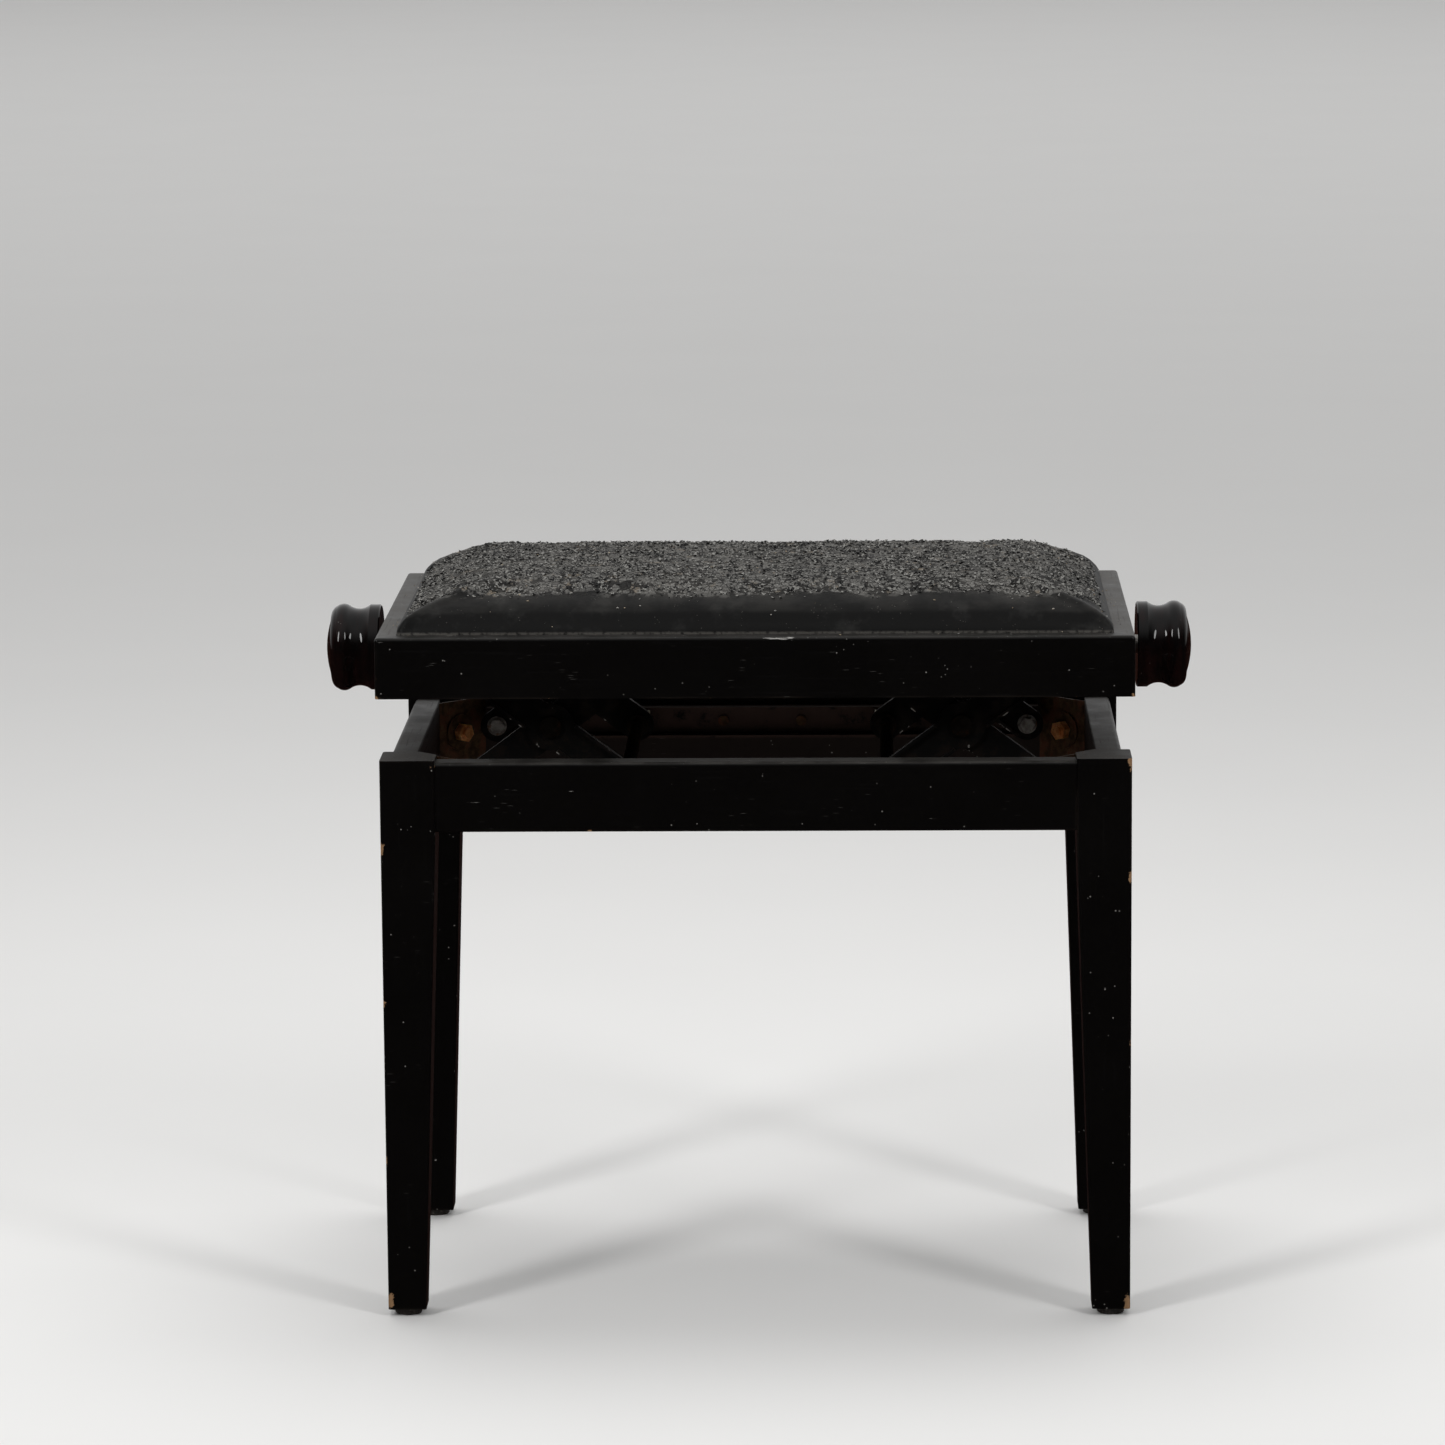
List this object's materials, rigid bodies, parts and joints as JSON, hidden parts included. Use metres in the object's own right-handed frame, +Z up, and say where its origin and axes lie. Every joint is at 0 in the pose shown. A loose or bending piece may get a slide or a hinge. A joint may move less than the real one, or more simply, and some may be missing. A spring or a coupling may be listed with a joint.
{
  "type": "piano bench",
  "caption": "Piano bench with four tapered legs, an upholstered seat, and a twin scissor lift turned by a knob at either end to raise and lower the seat.",
  "frame": {"origin": "on the floor, midway between the four legs", "axes": "+X along the seat's long side towards the right knob, +Y to the back, +Z up"},
  "size_m": [0.647, 0.33, 0.541],
  "materials": {
    "black_lacquer": "satin black lacquer over hardwood",
    "knob_gloss": "gloss black lacquer over turned hardwood",
    "glide_plastic": "matte",
    "yellow_zinc": "yellow zinc plating, rusty",
    "black_steel": "black paint on pressed steel",
    "bright_steel": "plain turned steel",
    "nylon": "matte",
    "brass": "turned",
    "plain_wood": "bare wood",
    "foam": "open-cell foam",
    "leatherette": "worn leatherette"
  },
  "bodies": {
    "base": {"front_apron": "black_lacquer", "back_apron": "black_lacquer", "left_side_apron": "black_lacquer", "right_side_apron": "black_lacquer", "front_left_leg": "black_lacquer", "front_right_leg": "black_lacquer", "back_left_leg": "black_lacquer", "back_right_leg": "black_lacquer", "foot_glides": "glide_plastic", "corner_brackets": "yellow_zinc", "hanger_bolts": "yellow_zinc", "hanger_washers": "yellow_zinc", "hanger_nuts": "yellow_zinc", "lower_rail_front": "black_steel", "lower_rail_rear": "black_steel", "lower_wood_screws": "bright_steel", "lower_pivot_bolts": "bright_steel", "lower_pivot_spacers": "bright_steel"},
    "left_lift_arms": {"left_lift_arm_front": "black_steel", "left_lift_arm_rear": "black_steel", "left_lift_tie": "black_steel"},
    "left_brace_arms": {"left_brace_arm_front": "black_steel", "left_brace_arm_rear": "black_steel", "left_slide_bar": "bright_steel", "left_crossing_rivets": "bright_steel"},
    "left_nut": {"left_screw_nut": "black_steel", "left_upper_shoes": "nylon"},
    "left_slide_shoes": {"left_lower_shoes": "nylon"},
    "right_lift_arms": {"right_lift_arm_front": "black_steel", "right_lift_arm_rear": "black_steel", "right_lift_tie": "black_steel"},
    "right_brace_arms": {"right_brace_arm_front": "black_steel", "right_brace_arm_rear": "black_steel", "right_slide_bar": "bright_steel", "right_crossing_rivets": "bright_steel"},
    "right_nut": {"right_screw_nut": "black_steel", "right_upper_shoes": "nylon"},
    "right_slide_shoes": {"right_lower_shoes": "nylon"},
    "seat": {"seat_front_rail": "black_lacquer", "seat_back_rail": "black_lacquer", "seat_left_rail": "black_lacquer", "seat_right_rail": "black_lacquer", "seat_corner_blocks": "plain_wood", "seat_board": "plain_wood", "cushion_foam": "foam", "cushion_cover": "leatherette", "upper_rail_front": "black_steel", "upper_rail_rear": "black_steel", "upper_wood_screws": "bright_steel", "upper_pivot_bolts": "bright_steel", "upper_pivot_spacers": "bright_steel", "screw_bushes": "brass"},
    "screw": {"screw_rods": "bright_steel", "screw_coupling": "bright_steel", "coupling_pins": "bright_steel", "screw_collars": "bright_steel", "thrust_washers": "bright_steel", "left_knob": "knob_gloss", "right_knob": "knob_gloss", "knob_set_screws": "bright_steel"}
  },
  "joints": [
    {"name": "knob_turn", "type": "hinge", "parent": "seat", "child": "screw", "pos_m": [0, 0, 0.4745], "axis": [1, 0, 0], "range_deg": [-2810.4, 3625.4]},
    {"name": "left_lift_hinge", "type": "hinge", "parent": "base", "child": "left_lift_arms", "pos_m": [-0.2042, 0, 0.394], "axis": [0, -1, 0], "range_deg": [-21.38, 27.57]},
    {"name": "left_crossing_hinge", "type": "hinge", "parent": "left_lift_arms", "child": "left_brace_arms", "pos_m": [-0.15001, 0, 0.43425], "axis": [0, -1, 0], "range_deg": [-55.13, 42.74]},
    {"name": "seat_hinge", "type": "hinge", "parent": "left_brace_arms", "child": "seat", "pos_m": [-0.2042, 0, 0.4745], "axis": [0, -1, 0], "range_deg": [-21.38, 27.57]},
    {"name": "left_nut_hinge", "type": "hinge", "parent": "left_lift_arms", "child": "left_nut", "pos_m": [-0.09583, 0, 0.4745], "axis": [0, -1, 0], "range_deg": [-27.57, 21.38]},
    {"name": "left_shoe_hinge", "type": "hinge", "parent": "left_brace_arms", "child": "left_slide_shoes", "pos_m": [-0.09583, 0, 0.394], "axis": [0, -1, 0], "range_deg": [-21.38, 27.57]},
    {"name": "right_lift_hinge", "type": "hinge", "parent": "base", "child": "right_lift_arms", "pos_m": [0.2042, 0, 0.394], "axis": [0, -1, 0], "range_deg": [-27.57, 21.38]},
    {"name": "right_crossing_hinge", "type": "hinge", "parent": "right_lift_arms", "child": "right_brace_arms", "pos_m": [0.15001, 0, 0.43425], "axis": [0, -1, 0], "range_deg": [-42.74, 55.13]},
    {"name": "right_nut_hinge", "type": "hinge", "parent": "right_lift_arms", "child": "right_nut", "pos_m": [0.09583, 0, 0.4745], "axis": [0, -1, 0], "range_deg": [-21.38, 27.57]},
    {"name": "right_shoe_hinge", "type": "hinge", "parent": "right_brace_arms", "child": "right_slide_shoes", "pos_m": [0.09583, 0, 0.394], "axis": [0, -1, 0], "range_deg": [-27.57, 21.38]}
  ],
  "couplings": [
    {"joint": "left_lift_hinge", "follows": "knob_turn", "ratio": 0.0076},
    {"joint": "left_crossing_hinge", "follows": "knob_turn", "ratio": -0.0152},
    {"joint": "seat_hinge", "follows": "knob_turn", "ratio": 0.0076},
    {"joint": "left_nut_hinge", "follows": "knob_turn", "ratio": -0.0076},
    {"joint": "left_shoe_hinge", "follows": "knob_turn", "ratio": 0.0076},
    {"joint": "right_lift_hinge", "follows": "knob_turn", "ratio": -0.0076},
    {"joint": "right_crossing_hinge", "follows": "knob_turn", "ratio": 0.0152},
    {"joint": "right_nut_hinge", "follows": "knob_turn", "ratio": 0.0076},
    {"joint": "right_shoe_hinge", "follows": "knob_turn", "ratio": -0.0076}
  ]
}
